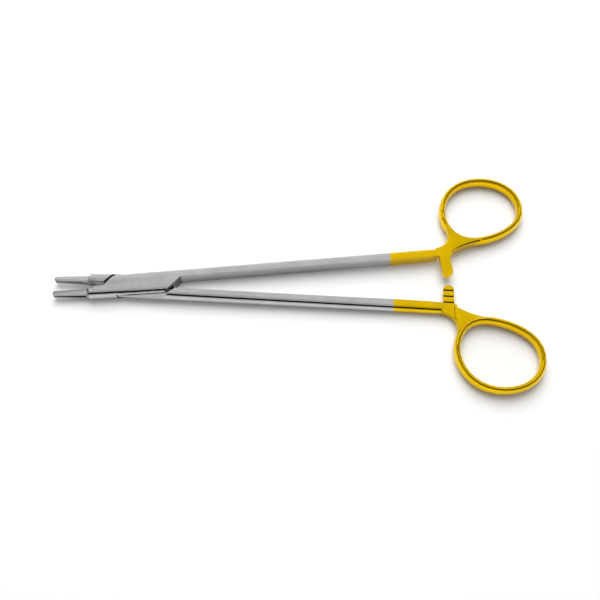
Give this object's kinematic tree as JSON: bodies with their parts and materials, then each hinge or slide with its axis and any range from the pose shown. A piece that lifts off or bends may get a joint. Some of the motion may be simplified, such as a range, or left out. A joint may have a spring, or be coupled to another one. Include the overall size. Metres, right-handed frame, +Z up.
{
  "type": "surgical needle holder",
  "caption": "Box-lock needle holder with slim carbide-faced jaws, long round-backed shanks, an interlocking ratchet and gilt finger rings; opens and shuts on its pivot.",
  "frame": {"origin": "on the pivot axis, in the plane of the flat underside on which the instrument lies", "axes": "+X from the jaws to the finger rings, between the two shanks; +Y to the side of the female half's ring; +Z up out of the surface it lies on, along the pivot"},
  "size_m": [0.1796, 0.091, 0.0051],
  "materials": {
    "female_half": "satin steel, rings and ratchet gilt",
    "male_half": "satin steel, rings and ratchet gilt",
    "pivot_pin": "satin, ground flush",
    "female_jaw_insert": "fine cross-cut carbide",
    "male_jaw_insert": "fine cross-cut carbide"
  },
  "bodies": {
    "female": {"female_half": "female_half", "female_jaw_insert": "female_jaw_insert", "pivot_pin": "pivot_pin"},
    "male": {"male_half": "male_half", "male_jaw_insert": "male_jaw_insert"}
  },
  "joints": [
    {"name": "box_lock", "type": "hinge", "parent": "female", "child": "male", "pos_m": [0, 0, 0.00255], "axis": [0, 0, -1], "range_deg": [-8, 32]}
  ]
}
